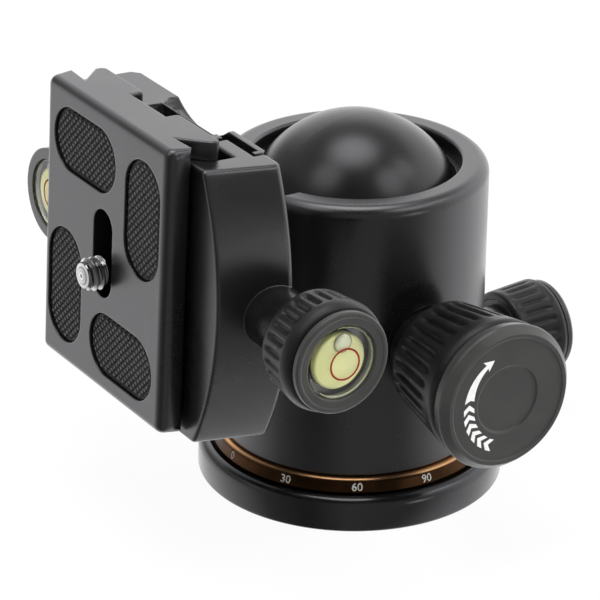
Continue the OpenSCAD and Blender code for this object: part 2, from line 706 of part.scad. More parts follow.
// A pad s times off the plate's middle; a cross pad's length runs along the plate's
module pad(s, cross) {
    color("#0c0c0d") on_head() on_plate()
        translate([s * (cross ? pad_cross[1] : pad_long[1]),
            s * (cross ? -pad_cross[0] : pad_long[0]), 0.05 - pad_depth])
            linear_extrude(pad_depth - 0.05 - pad_sunk) rotate(cross ? 0 : 90)
                obround(pad_l - 2 * pad_gap, pad_w - 2 * pad_gap);
}
module pad_top() { pad(1, false); }
module pad_front() { pad(1, true); }
module pad_back() { pad(-1, true); }
module pad_bottom() { pad(-1, false); }
module screw_clip() {
    color("#7b7e82") on_head() on_plate() translate([screw_at, 0, recess_h - plate_t - clip_t - 0.1])
        ring(clip_r, screw_neck_r + running, 0, clip_t);
}
module camera_screw() {
    shank_top = camera_screw_out - 0.9;
    foot = recess_h - plate_t - clip_t - 0.2 - screw_head_t;
    color("#d5d7d9") on_head() on_plate() translate([screw_at, 0, 0]) difference() {
        union() {
            translate([0, 0, foot]) cylinder(r = screw_head_r, h = screw_head_t);
            translate([0, 0, foot]) cylinder(r = screw_neck_r, h = shank_top - foot);
            translate([0, 0, screw_neck_top])
                cylinder(r = camera_screw_r, h = shank_top - screw_neck_top);
            translate([0, 0, shank_top]) rotate_extrude() polygon([[0, 0], [camera_screw_r, 0],
                [camera_screw_r - 0.6, 0.6], [1.4, 0.9], [0, 0.9]]);
        }
        translate([0, 0, foot]) cube([2 * screw_head_r + over, 1.4, 1.6], center = true);
    }
}

base_flange();
scale_ring();
thread_bushing();
pan_spindle();
pan_washer();
spindle_washer();
spindle_screws();
housing();
floor_plug();
ball_seat();
lock_bush();
pan_bush();
cup_spring();
ball_cup();
lock_wedge();
lock_knob_core();
lock_knob_grip();
lock_knob_cap();
pan_pad();
pan_knob_core();
pan_knob_grip();
pan_knob_cap();
ball();
stem_screw();
clamp_body();
guide_pins();
jaw_springs();
side_level_vial();
clamp_jaw();
clamp_knob_core();
clamp_knob_grip();
clamp_knob_bezel();
knob_level_vial();
camera_plate();
pad_top();
pad_front();
pad_back();
pad_bottom();
screw_clip();
camera_screw();
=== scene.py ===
# %% [markdown]
# # A tripod ball head
# The head holds a camera on a tripod. A round housing turns on a fixed base, and a big
# ball is held in its mouth. The ball's stem carries a clamp, which grips a plate with
# the camera screw. This lesson starts from the exact CAD model of the head and gives
# it everything that a CAD model leaves out: finishes, ribs, screw threads, markings,
# and the liquid in the two bubble levels.
#
# The CAD model is loaded as a frame. Its meshes already lie where they belong, in
# metres, so a new piece is drawn in millimetres and scaled down once, at the end.

import math

import bmesh
import bpy
from mathutils import Matrix, Vector


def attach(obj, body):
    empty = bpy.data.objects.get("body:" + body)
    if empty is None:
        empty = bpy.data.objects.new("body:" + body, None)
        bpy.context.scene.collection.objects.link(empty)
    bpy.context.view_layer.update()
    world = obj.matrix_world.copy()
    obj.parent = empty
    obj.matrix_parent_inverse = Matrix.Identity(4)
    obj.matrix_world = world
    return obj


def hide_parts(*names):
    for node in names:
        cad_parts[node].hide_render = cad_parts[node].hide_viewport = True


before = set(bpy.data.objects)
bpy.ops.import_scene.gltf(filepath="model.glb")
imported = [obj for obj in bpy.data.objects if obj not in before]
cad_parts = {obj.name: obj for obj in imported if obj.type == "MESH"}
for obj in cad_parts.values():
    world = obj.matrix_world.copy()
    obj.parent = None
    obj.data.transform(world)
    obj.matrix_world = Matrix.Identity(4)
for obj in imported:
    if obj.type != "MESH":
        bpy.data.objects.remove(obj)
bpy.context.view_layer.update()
MM = Matrix.Scale(0.001, 4)

# %% [markdown]
# ## Where the pieces are
# Six pieces of the head have axes of their own: the lock knob, the pan knob, the
# clamp knob, the side level, the plate and the camera screw. A matrix for each lets a
# piece be drawn upright round local Z and then laid in place. The head itself, which
# is the clamp and all it carries, is laid over into the drop slot.

# %% Places on the head
LOCK_HEIGHT, PAN_LOCK_HEIGHT = 35.8, 18.5
BALL_HEIGHT = 52.7
HEAD_TILT = 87.6
PLATE_TOP = 55.2
PLATE_SHIFT, PLATE_OFFSET = 2.3, 0.5
CLAMP_KNOB_HEIGHT = 38.7
SIDE_LEVEL_OUT = 34.8
SCREW_SHIFT = -3.7


def moved(x, y, z):
    return Matrix.Translation((x, y, z))


def turned_by(degrees, axis):
    return Matrix.Rotation(math.radians(degrees), 4, axis)


UPRIGHT = Matrix.Identity(4)
AT_LOCK = moved(0, 0, LOCK_HEIGHT) @ turned_by(90, "X")
AT_PAN = moved(0, 0, PAN_LOCK_HEIGHT) @ turned_by(90, "Y")
HEAD = moved(0, 0, BALL_HEIGHT) @ turned_by(-HEAD_TILT, "Y")
AT_CLAMP_KNOB = HEAD @ moved(0, 0, CLAMP_KNOB_HEIGHT) @ turned_by(90, "X")
AT_SIDE_LEVEL = HEAD @ moved(0, SIDE_LEVEL_OUT, 0)
ON_PLATE = HEAD @ moved(PLATE_SHIFT, PLATE_OFFSET, PLATE_TOP)
AT_SCREW = ON_PLATE @ moved(SCREW_SHIFT, 0, 0)

# %% [markdown]
# ## The camera
# The picture was taken from the front left and a little above, with a long lens. The
# place and the three axes below were found by fitting outlines that show on both the
# photograph and the CAD model: the base, the ring, the ball, the housing's rim, the
# two knobs in front and the edges of the plate.

# %% Camera
CAMERA_PLACE = (-0.336587, -0.509417, 0.319057)
CAMERA_RIGHT = (0.84644452, -0.5323333, 0.01236679)
CAMERA_UP = (0.21522101, 0.36327417, 0.9064832)
CAMERA_BACK = (-0.48704373, -0.76462614, 0.42206075)
lens = bpy.data.cameras.new("camera")
lens.sensor_width = 36
lens.lens = 207.783
camera = bpy.data.objects.new("camera", lens)
axes = Matrix((CAMERA_RIGHT, CAMERA_UP, CAMERA_BACK)).transposed()
camera.matrix_world = Matrix.Translation(CAMERA_PLACE) @ axes.to_4x4()
bpy.context.scene.collection.objects.link(camera)
bpy.context.scene.camera = camera
bpy.context.scene.view_settings.view_transform = "Standard"

# %% [markdown]
# ## Shader maths
# A finish is a tree of nodes. Written one node at a time it soon hides what it says,
# so a small class wraps a socket: a plus between two wires adds a Math node. Every
# other node comes from one method, which sets the node's options first and then
# gives its sockets a value or a link.


# %% Wires and finishes
class Wire:
    """A socket that Python's operators can work on."""

    def __init__(self, finish, socket):
        self.finish, self.socket = finish, socket

    def math(self, operation, *values):
        return self.finish.node(
            "ShaderNodeMath", {"operation": operation}, dict(enumerate(values))
        )

    def __add__(self, other):
        return self.math("ADD", self, other)

    def __sub__(self, other):
        return self.math("SUBTRACT", self, other)

    def __mul__(self, other):
        return self.math("MULTIPLY", self, other)

    def __truediv__(self, other):
        return self.math("DIVIDE", self, other)

    def __rsub__(self, other):
        return self.math("SUBTRACT", other, self)

    def __lt__(self, other):
        return self.math("LESS_THAN", self, other)

    __radd__, __rmul__ = __add__, __mul__

    def out(self, name):
        return Wire(self.finish, self.socket.node.outputs[name])


class Finish:
    """A material on a Principled shader, built up from wires."""

    def __init__(self, name):
        self.material = bpy.data.materials.new(name)
        self.material.use_nodes = True
        self.tree = self.material.node_tree
        self.shader = self.tree.nodes["Principled BSDF"]
        self.spot = self.node("ShaderNodeTexCoord").out("Object")

    def node(self, kind, options=(), sockets=(), output=0):
        node = self.tree.nodes.new(kind)
        for key, value in dict(options).items():
            if key == "stops":
                ramp = node.color_ramp.elements
                while len(ramp) < len(value):
                    ramp.new(1)
                for stop, (place, colour) in zip(ramp, value):
                    stop.position, stop.color = place, colour
            else:
                setattr(node, key, value)
        for key, value in dict(sockets).items():
            if isinstance(value, Wire):
                self.tree.links.new(value.socket, node.inputs[key])
            else:
                node.inputs[key].default_value = value
        return Wire(self, node.outputs[output])

    def dress(self, **sockets):
        for key, value in sockets.items():
            socket = self.shader.inputs[key.replace("_", " ")]
            if isinstance(value, Wire):
                self.tree.links.new(value.socket, socket)
            else:
                socket.default_value = value
        return self

    def noise(self, scale, detail=2.0):
        sockets = {"Vector": self.spot, "Scale": scale, "Detail": detail}
        return self.node("ShaderNodeTexNoise", {}, sockets)

    def ease(self, value, low, high, start=0.0, end=1.0):
        """From start to end, as a value goes from low to high, without a corner."""
        return self.node(
            "ShaderNodeMapRange",
            {"interpolation_type": "SMOOTHSTEP"},
            {0: value, 1: low, 2: high, 3: start, 4: end},
        )

    def mix(self, share, first, second):
        """A colour between two. A Mix node's colour sockets are numbers 6, 7 and 2."""
        return self.node(
            "ShaderNodeMix", {"data_type": "RGBA"}, {0: share, 6: first, 7: second}, 2
        )

    def bump(self, height, depth, normal):
        sockets = {"Height": height, "Distance": depth, "Strength": 1.0, "Normal": normal}
        return self.node("ShaderNodeBump", {}, sockets)

    def split(self, spot):
        """The X, Y and Z of a vector."""
        parts = self.node("ShaderNodeSeparateXYZ", {}, {"Vector": spot})
        return [parts.out(axis) for axis in "XYZ"]

    def dot(self, first, second):
        sockets = {0: first, 1: second}
        return self.node(
            "ShaderNodeVectorMath", {"operation": "DOT_PRODUCT"}, sockets
        ).out("Value")

    def rounded(self, radius):
        return self.node("ShaderNodeBevel", {"samples": 8}, {"Radius": radius})

    def edges(self, rounded):
        """Near 1 along an edge, where the rounded normal leaves the flat one."""
        flat = self.node("ShaderNodeNewGeometry").out("Normal")
        return self.ease(self.dot(rounded, flat), 0.999, 0.93)

    def specks(self, scale, size, share):
        """Near 1 on fine dust, a speck in some of a grid's cells."""
        cell = self.node("ShaderNodeTexVoronoi", {}, {"Vector": self.spot, "Scale": scale})
        parts = self.node("ShaderNodeSeparateColor", {}, {"Color": cell.out("Color")})
        return (cell < size) * (parts.out("Red") < share)

    def surface(self, wire):
        """Replaces what the material shows by another shader."""
        self.tree.links.new(
            wire.socket, self.tree.nodes["Material Output"].inputs["Surface"]
        )


# %% [markdown]
# ## Light
# The head is black, so what it shows is mostly what stands round it. It was taken in
# a white studio that was dark only on the camera's side, which leaves the middle of
# the housing dark and its sides pale. The world does this with a ramp that runs once
# round the horizon, from the far wall over the left side to the camera and back on
# the right. Its ceiling is dim. Soft boxes hang there, and show as patches on the ball
# and as bright lines on rounded edges. Two more stand for the lit table and its edge,
# which the jaw reflects. The camera itself sees plain white. Two lamps light what is
# matt, and don't show as spots in what is polished.

# %% World
world = bpy.data.worlds.new("studio")
bpy.context.scene.world = world
world.use_nodes = True


class Room(Finish):
    """The world's tree, which has no Principled shader."""

    def __init__(self, world):
        self.tree = world.node_tree
        self.tree.nodes.clear()


BRIGHTEST = 1.5
CEILING, LEFT_BEHIND_SHADE = 0.3, 0.7
CAMERA_SIDE, RIGHT_SIDE = (-0.5372, -0.8434, 0), (0.8434, -0.5372, 0)
UP, LEFT_BEHIND = (0, 0, 1), (-0.537, 0.843, 0)
# degrees right of the camera, and how bright the room is there
WALLS = [(-180, 1.4), (-122, 1.15), (-95, 0.7), (-65, 0.18), (-30, 0.06), (0, 0.2)]
WALLS += [(28, 0.16), (52, 0.14), (72, 0.4), (95, 0.9), (122, 1.25), (180, 1.4)]
room = Room(world)
direction = room.node("ShaderNodeTexCoord").out("Generated")


def towards(axis):
    """How far the view points along an axis."""
    return room.dot(direction, axis)


right, front = towards(RIGHT_SIDE), towards(CAMERA_SIDE)
round_room = right.math("ARCTAN2", right, front) / math.tau + 0.5
stops = [(turn / 360 + 0.5, (level / BRIGHTEST,) * 3 + (1,)) for turn, level in WALLS]
glow = room.node("ShaderNodeValToRGB", {"stops": stops}, {"Fac": round_room}) * BRIGHTEST
glow = glow * room.ease(towards(UP), 0.5, 0.76, 1.0, CEILING)
# behind the head on the left only the table is bright
shade = room.ease(towards(LEFT_BEHIND), 0.64, 0.9) * room.ease(towards(UP), 0, 0.2)
glow = glow * (1 - shade * LEFT_BEHIND_SHADE)
# which way each soft light lies, its half width in degrees and its brightness
BOXES = [((0.03, 0.1, 0.99), 17, 2.4), ((0.29, -0.58, 0.76), 12, 1.6)]
BOXES += [((-0.55, 0.0, 0.83), 13, 1.3), ((0.6, -0.33, 0.73), 9, 1.2)]
TABLE = [((0.36, -0.44, -0.82), 22, 0.3), ((0.31, -0.95, -0.02), 7, 1.5)]
for axis, width, level in BOXES + TABLE:
    axis = Vector(axis).normalized()
    inner, outer = (math.cos(math.radians(width * edge)) for edge in (0.6, 1.4))
    glow = glow + room.ease(towards(axis), outer, inner, 0.0, level)
print("soft lights:", len(BOXES + TABLE))
seen = room.node("ShaderNodeLightPath").out("Is Camera Ray")
strength = glow * (1 - seen) + seen
WHITE = (1, 1, 1, 1)
backdrop = room.node("ShaderNodeBackground", {}, {"Color": WHITE, "Strength": strength})
output = room.tree.nodes.new("ShaderNodeOutputWorld")
room.tree.links.new(backdrop.socket, output.inputs["Surface"])


# %% Lamps
def soft_lamp(name, place, size, power):
    data = bpy.data.lights.new(name, "AREA")
    data.shape, data.size, data.energy = "DISK", size, power
    lamp = bpy.data.objects.new(name, data)
    lamp.location = place
    lamp.rotation_euler = (LAMP_AIM - Vector(place)).to_track_quat("-Z", "Y").to_euler()
    lamp.visible_glossy = False
    bpy.context.scene.collection.objects.link(lamp)


LAMP_AIM = Vector((0, 0, 0.04))
soft_lamp("lamp_above", (-0.25, -0.1, 0.9), 0.45, 6.0)
soft_lamp("lamp_right", (0.8, -0.45, 0.45), 0.35, 4.0)


# %% [markdown]
# ## From a bmesh to a piece
# Each new piece starts as a bmesh in millimetres, upright round Z. A few helpers do
# the rest. One turns an outline round Z, as a lathe does, with rounded corners from
# another. One makes a flat shape into a thin plate and one joins several shapes. The
# last puts the result in place and ties it to its CAD body.


# %% Modelling helpers
def lathe(outline, steps=96, closed=False):
    """A bmesh turned round Z from (radius, height) points."""
    bm = bmesh.new()
    points = [bm.verts.new((r, 0, z)) for r, z in outline]
    pairs = list(zip(points, points[1:])) + ([(points[-1], points[0])] if closed else [])
    edges = [bm.edges.new(pair) for pair in pairs]
    bmesh.ops.spin(
        bm,
        geom=points + edges,
        cent=(0, 0, 0),
        axis=(0, 0, 1),
        angle=math.tau,
        steps=steps,
        use_merge=True,
    )
    bmesh.ops.remove_doubles(bm, verts=bm.verts, dist=1e-4)
    bmesh.ops.recalc_face_normals(bm, faces=bm.faces)
    return bm


def arc(centre, radius, start, end, steps=6):
    """Points round a corner, with its angles in degrees."""
    turns = [math.radians(start + (end - start) * i / steps) for i in range(steps + 1)]
    return [
        (centre[0] + radius * math.cos(t), centre[1] + radius * math.sin(t)) for t in turns
    ]


def plate_of(outline, foot, thickness):
    """A bmesh of a flat outline, made thick."""
    bm = bmesh.new()
    face = bm.faces.new([bm.verts.new((x, y, foot)) for x, y in outline])
    made = bmesh.ops.extrude_face_region(bm, geom=[face])["geom"]
    top = [v for v in made if isinstance(v, bmesh.types.BMVert)]
    bmesh.ops.translate(bm, verts=top, vec=(0, 0, thickness))
    bmesh.ops.recalc_face_normals(bm, faces=bm.faces)
    return bm


def join(*parts):
    """One bmesh of several, each of which is used up."""
    whole = bmesh.new()
    for part in parts:
        mesh = bpy.data.meshes.new("part")
        part.to_mesh(mesh)
        part.free()
        whole.from_mesh(mesh)
        bpy.data.meshes.remove(mesh)
    return whole


def piece(name, bm, place, body, finish, stands_for=(), sharp=35, even=False):
    """Puts a bmesh in place and ties it to its CAD body.

    An edge that turns more than sharp degrees stays sharp. With even set, a large flat
    face keeps its own shading, and the small faces beside it take after it.
    """
    bm.transform(MM @ place)
    mesh = bpy.data.meshes.new(name)
    bm.to_mesh(mesh)
    bm.free()
    mesh.shade_smooth()
    mesh.set_sharp_from_angle(angle=math.radians(sharp))
    mesh.materials.append(finish.material)
    obj = bpy.data.objects.new(name, mesh)
    bpy.context.scene.collection.objects.link(obj)
    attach(obj, body)
    if stands_for:
        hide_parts(*stands_for)
    if even:
        obj.modifiers.new("even_faces", "WEIGHTED_NORMAL").keep_sharp = True
    print(f"{name}: {len(mesh.polygons)} faces")
    return obj


# %% [markdown]
# ## Finishes of the metal
# Housing, clamp and plate have a satin black coat, the base a glossier one, and the
# ball is smooth black anodised aluminium. On the real head the coat shows as a fine
# grain, worn thinner along the edges, with a little dust. The Bevel node rounds the
# CAD model's sharp edges for the light, and where its normal leaves the flat one the
# coat is painted brighter: partly edge wear, partly a painted highlight along the edge.


# %% Black coats
def grey(level, blue=1.0):
    """A grey as a colour, with its blue a little more or less than the rest."""
    return (level, level, level * blue, 1)


def black_coat(name, dark, wear_and_highlight_grey, metal, rough, grain, edge):
    coat = Finish(name)
    rounded = coat.rounded(edge)
    # painted highlight: the edges are made paler, partly wear and partly a highlight painted
    # along them
    edge_wear_and_highlight = coat.edges(rounded) * coat.ease(coat.noise(180.0), 0.25, 0.6, 0.25, 0.8)
    cloud = coat.ease(coat.noise(60.0, 3.0), 0.3, 0.7)
    dust = coat.specks(260.0, 0.03, 0.05)
    base = coat.mix(cloud, grey(dark, 1.03), grey(dark * 1.12, 1.17 / 1.12))
    # the pale edge grey is partly wear and partly a painted highlight
    base = coat.mix(edge_wear_and_highlight, base, grey(wear_and_highlight_grey, 0.98))
    base = coat.mix(dust, base, (0.45, 0.44, 0.42, 1))
    fine = coat.noise(grain)
    return coat.dress(
        Base_Color=base,
        Metallic=(1 - dust) * metal,
        Roughness=coat.ease(cloud + fine * 0.4, 0.1, 1.3, rough - 0.03, rough + 0.04),
        Normal=coat.bump(fine, COAT_GRAIN, rounded),
    )


COAT_GRAIN = 0.0000012
satin_black = black_coat("satin_black", 0.122, 0.2, 0.97, 0.29, 3200.0, 0.0004)
gloss_black = black_coat("gloss_black", 0.10, 0.15, 0.95, 0.22, 3200.0, 0.0004)
ball_black = black_coat("ball_black", 0.072, 0.09, 0.97, 0.29, 3400.0, 0.0002)

# %% [markdown]
# The scale ring is anodised in copper and turned on a lathe, so its colour breaks
# into very fine rings. A noise that depends on height and radius alone gives those.
# Below its rounded top edge, where it carries the scale, the ring is painted dark
# bronze, a painted dark reflection in its sloped face, so the height above the table
# picks the tone. A screw that doesn't stand on the world's axis passes its own place,
# and a Mapping node takes the coordinates there.


# %% Turned metals
def own_place(metal, place):
    """The coordinates of a piece that was turned in another place, in metres."""
    back = (MM @ place).inverted()
    turn = {"Rotation": back.to_euler(), "Scale": back.to_scale(), "Location": back.translation}
    spot = metal.node("ShaderNodeMapping", {}, {"Vector": metal.spot, **turn})
    sockets = {0: spot, "Scale": 0.001}
    return metal.node("ShaderNodeVectorMath", {"operation": "SCALE"}, sockets)


def turned(name, colour, shade, rough, pitch, place=None, cut=0.000006, band=None):
    metal = Finish(name)
    x, y, z = metal.split(own_place(metal, place) if place else metal.spot)
    radius = metal.node("ShaderNodeMath", {"operation": "SQRT"}, {0: x * x + y * y})
    lines = metal.node(
        "ShaderNodeTexNoise",
        {"noise_dimensions": "1D"},
        {"W": (radius + z) / pitch, "Scale": 1.0, "Detail": 1.0},
    )
    cloud = metal.ease(metal.noise(140.0, 3.0), 0.3, 0.7)
    tone = metal.mix(metal.ease(lines, 0.3, 0.7), colour, shade)
    tone = metal.mix(cloud * 0.35, tone, shade)
    if band:
        tone = band(metal, tone)
    return metal.dress(
        Base_Color=tone,
        Metallic=1.0,
        Roughness=metal.ease(lines, 0.2, 0.8, rough - 0.04, rough + 0.08),
        Normal=metal.bump(lines, cut, metal.rounded(0.0002)),
    )


# where the painted dark reflection ends and the copper's own tone begins, in metres above the
# table
BAND_END, COPPER_START = 0.0092, 0.0095


def dark_band(metal, tone):
    """A painted dark reflection in bronze tones up to the band's end, and the ring's own tone
    above.
    """
    height = metal.split(metal.spot)[2]
    mottle = metal.ease(metal.noise(220.0, 3.0), 0.3, 0.7)
    dark_reflection = metal.mix(mottle, (0.050, 0.025, 0.012, 1), (0.085, 0.040, 0.018, 1))
    return metal.mix(metal.ease(height, BAND_END, COPPER_START), dark_reflection, tone)


copper = turned(
    "copper_ring",
    (0.96, 0.56, 0.29, 1),
    (0.84, 0.44, 0.20, 1),
    rough=0.28,
    pitch=0.00012,
    band=dark_band,
)
aluminium = turned("bare_aluminium", (0.62, 0.63, 0.64, 1), (0.5, 0.51, 0.52, 1), 0.3, 0.0002)
steel = turned("zinc_steel", (0.6, 0.61, 0.62, 1), (0.5, 0.51, 0.53, 1), 0.28, 0.00015)
brass = turned("turned_brass", (0.78, 0.58, 0.27, 1), (0.66, 0.47, 0.2, 1), 0.26, 0.00015)
# painted reflection: the rings are turned, but their run from near white to dark grey is a
# painted reflection of the room
chrome = turned(
    "chrome",
    grey(0.98),
    (0.22, 0.22, 0.23, 1),
    rough=0.08,
    pitch=0.0006,
    place=AT_SCREW,
    cut=0.00006,
)

# %% [markdown]
# ## Finishes of plastic and rubber
# The knobs' caps are satin moulded plastic, their grips soft rubber, and the pads
# harder rubber with their tops painted paler, a painted highlight. All are nearly
# black, and differ in how they catch the light. The boss on the jaw is the blackest.
# Inside, the pan's washer, the ball's cup and its seat are nylon. The seat is made
# near black, which is painted shade for the gap round the ball. One function makes
# them all, because each is a colour with a fine grain, edges painted paler (partly
# rubbing, partly a painted highlight) and some dust.


# %% Plastic and rubber
def moulded(name, dark, light, rough, grain, depth, dusty):
    stuff = Finish(name)
    rounded = stuff.rounded(0.00025)
    cloud = stuff.ease(stuff.noise(240.0, 4.0), 0.3, 0.7)
    # painted highlight: the edges are made paler, partly rubbing and partly a highlight painted
    # along them
    rub = stuff.edges(rounded) * 0.6
    dust = stuff.specks(700.0, 0.06, dusty)
    rubbed_and_highlit = tuple(min(1, c * 2.2) for c in light[:3]) + (1,)
    base = stuff.mix(cloud, dark, light)
    base = stuff.mix(rub, base, rubbed_and_highlit)
    base = stuff.mix(dust, base, (0.4, 0.39, 0.37, 1))
    fine = stuff.noise(grain, 3.0)
    return stuff.dress(
        Base_Color=base,
        Roughness=stuff.ease(fine, 0.2, 0.8, rough - 0.06, rough + 0.06),
        Normal=stuff.bump(fine, depth, rounded),
    )


knob_plastic = moulded(
    "knob_plastic", (0.043, 0.043, 0.042, 1), (0.050, 0.050, 0.048, 1),
    rough=0.34, grain=2400.0, depth=0.00001, dusty=0.02,
)
grip_rubber = moulded(
    "grip_rubber", (0.006, 0.0062, 0.0065, 1), (0.011, 0.0112, 0.0116, 1),
    rough=0.40, grain=2600.0, depth=0.000004, dusty=0.08,
)
pad_rubber = moulded(
    "pad_rubber", grey(0.020), (0.032, 0.031, 0.031, 1),
    rough=0.6, grain=1500.0, depth=0.00004, dusty=0.06,
)
# painted highlight: a paler rubber for the diamonds' tops, as if lit, which leaves the grooves
# darker as painted shade
pad_lit_tops = moulded(
    "pad_rubber_lit_tops", (0.038, 0.037, 0.037, 1), (0.060, 0.058, 0.057, 1),
    rough=0.5, grain=1500.0, depth=0.00004, dusty=0.03,
)
boss_black = moulded(
    "boss_black", grey(0.006), grey(0.009),
    rough=0.24, grain=2400.0, depth=0.000002, dusty=0.02,
)
boss_black.dress(Specular_IOR_Level=0.2)
nylon = moulded(
    "natural_nylon", (0.78, 0.75, 0.66, 1), (0.84, 0.81, 0.73, 1),
    rough=0.42, grain=900.0, depth=0.00002, dusty=0.0,
)
# painted shade: the seat is near black so that the gap between the ball and the housing shows
# dark
seat_nylon_painted_shade = moulded(
    "seat_nylon_painted_shade", (0.012, 0.012, 0.013, 1), (0.020, 0.020, 0.021, 1),
    rough=0.5, grain=900.0, depth=0.00002, dusty=0.0,
)
print("finishes:", len(bpy.data.materials))

# %% [markdown]
# ## Finishes on the CAD pieces
# A CAD piece whose shape is right keeps its mesh and only changes its finish. The
# inner works are given theirs too, because they show when the head is taken apart.

# %% Dress the CAD pieces
WEARS = {
    satin_black: ["housing", "lock_bush", "pan_bush"],
    ball_black: ["ball"],
    copper: ["scale_ring"],
    aluminium: ["pan_spindle", "spindle_washer", "floor_plug"],
    steel: [
        "thread_bushing",
        "spindle_screws",
        "cup_spring",
        "lock_wedge",
        "stem_screw",
        "guide_pins",
        "jaw_springs",
        "screw_clip",
    ],
    brass: ["pan_pad"],
    nylon: ["pan_washer", "ball_cup"],
    # the seat's near-black colour is painted shade for the gap round the ball
    seat_nylon_painted_shade: ["ball_seat"],
    knob_plastic: [
        "lock_knob_core",
        "lock_knob_cap",
        "pan_knob_core",
        "pan_knob_cap",
        "clamp_knob_core",
    ],
}
for finish, names in WEARS.items():
    for name in names:
        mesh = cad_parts[name].data
        mesh.materials.clear()
        mesh.materials.append(finish.material)

# %% [markdown]
# ## Softened edges
# The clamp and the plate are cast, and every outer edge of them is round. The CAD
# model leaves the ends of these pieces sharp. A copy of its mesh is merged, because a
# CAD mesh is loose triangles, and its flat areas are made whole faces again. Then
# only the edges that a test picks are beveled. A bevel that may not overlap shrinks
# to suit the shortest edge, so that guard is off for the plate and the jaw, and their
# radii are kept below those of the arcs they run along. Every copy is drawn in its
# own place, with the plate's or the clamp's length along X.


# %% Rounded copies of cast pieces
def rounded_copy(node, place, rounds, guard=False):
    """A bmesh of a CAD node in its own place's millimetres, with some edges rounded.

    rounds is a list of (radius, segments, test), and a test takes an edge.
    """
    bm = bmesh.new()
    bm.from_mesh(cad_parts[node].data)
    bm.transform((MM @ place).inverted())
    bmesh.ops.remove_doubles(bm, verts=bm.verts, dist=0.002)
    bmesh.ops.dissolve_limit(
        bm, angle_limit=math.radians(0.4), verts=bm.verts, edges=bm.edges
    )
    for radius, segments, test in rounds:
        picked = [e for e in bm.edges if len(e.link_faces) == 2 and test(e)]
        bmesh.ops.bevel(
            bm,
            geom=picked,
            offset=radius,
            offset_type="OFFSET",
            segments=segments,
            profile=0.5,
            affect="EDGES",
            clamp_overlap=guard,
            material=-1,
        )
        print(f"{node}: {len(picked)} edges rounded to {radius} mm")
    return bm


def turn_of(edge):
    """Degrees between the faces of a convex edge, or 0 in a hollow."""
    return math.degrees(edge.calc_face_angle(0)) if edge.is_convex else 0


# %% The plate
PLATE_END = 27.7  # just short of the plate's ends
SLAB_FOOT = -4.95  # where the slab meets the dovetail, below the plate's top
CAST_SHARP = 32


def plate_end(edge):
    return turn_of(edge) > 50 and all(abs(v.co.x) > PLATE_END for v in edge.verts)


def slab_end(edge):
    return plate_end(edge) and all(v.co.z > SLAB_FOOT + 0.6 for v in edge.verts)


def dovetail_end(edge):
    return plate_end(edge) and all(v.co.z < SLAB_FOOT + 0.7 for v in edge.verts)


piece(
    "plate_rounded",
    rounded_copy("camera_plate", ON_PLATE, [(1.7, 6, slab_end), (0.45, 2, dovetail_end)]),
    ON_PLATE,
    "plate",
    satin_black,
    ["camera_plate"],
    sharp=CAST_SHARP,
    even=True,
)

# %% [markdown]
# The jaw's outer face is bowed, and a boss for the knob stands out of it. Smooth
# shading mixes the directions of such faces where they meet the bevels, and shows
# dark streaks. So the faces that were turned about an axis are given the direction
# that they would have if they were truly round, and the small faces beside them take
# after the large ones.


# %% Even shading of turned faces
def true_normal(face, point, turned_faces):
    """The face's direction at a point, as if a turned face were truly round."""
    for place, low, high in turned_faces:
        turn, centre = place.to_3x3(), (MM @ place).inverted()
        own = turn.inverted() @ face.normal
        outward = (centre @ face.center).xy
        if low < outward.length < high and own.xy.length > 0.9:
            if own.xy.angle(outward) < math.radians(2.5):
                spoke = (centre @ point).xy.normalized() * own.xy.length
                return turn @ Vector((*spoke, own.z))
    return face.normal


def shade_round(mesh, turned_faces, sharp):
    """Gives turned faces their true directions, and the rest even ones.

    turned_faces is a list of (place, least radius, most radius), turned about the
    place's Z axis. Faces that meet at more than sharp degrees keep a sharp edge.
    """
    fans = [[] for _ in mesh.vertices]
    for face in mesh.polygons:
        for v in face.vertices:
            fans[v].append(face)
    normals = []
    for face in mesh.polygons:
        for v in face.vertices:
            total = Vector()
            for other in fans[v]:
                if other.normal.angle(face.normal) < math.radians(sharp):
                    point = mesh.vertices[v].co
                    total += true_normal(other, point, turned_faces) * other.area
            normals.append(total.normalized())
    mesh.normals_split_custom_set(normals)
    print(f"{mesh.name}: {len(normals)} corners shaded")


# %% The moving jaw
BOW_R, BULGE = 58.0, 34.3
BOSS_R = 6.0
JAW_END = 26.6  # just short of the jaws' ends
AT_BOW = HEAD @ moved(0, BOW_R - BULGE, 0)


def jaw_end(edge):
    return turn_of(edge) > 40 and all(abs(v.co.x) > JAW_END for v in edge.verts)


jaw_bm = rounded_copy("clamp_jaw", HEAD, [(0.7, 3, jaw_end)])
for face in jaw_bm.faces:
    x, y, z = face.calc_center_median()
    on_boss = math.hypot(x, z - CLAMP_KNOB_HEIGHT) < BOSS_R + 0.05 and y < 0
    face.material_index = int(on_boss)
jaw = piece(
    "jaw_rounded",
    jaw_bm,
    HEAD,
    "jaw",
    satin_black,
    ["clamp_jaw"],
    sharp=CAST_SHARP,
)
jaw.data.materials.append(boss_black.material)
round_faces = [(AT_BOW, BOW_R - 4, BOW_R + 0.5), (AT_CLAMP_KNOB, BOSS_R - 3, BOSS_R + 3)]
shade_round(jaw.data, round_faces, CAST_SHARP)

# %% The clamp's body
SHELF = -5.5  # the shelf under the moving jaw starts here, and the far jaw is beyond


def far_jaw_end(edge):
    return jaw_end(edge) and all(v.co.y > SHELF for v in edge.verts)


def shelf_end(edge):
    return jaw_end(edge) and not far_jaw_end(edge)


piece(
    "clamp_rounded",
    rounded_copy(
        "clamp_body", HEAD, [(1.1, 4, far_jaw_end), (0.4, 2, shelf_end)], guard=True
    ),
    HEAD,
    "clamp",
    satin_black,
    ["clamp_body"],
    sharp=CAST_SHARP,
    even=True,
)

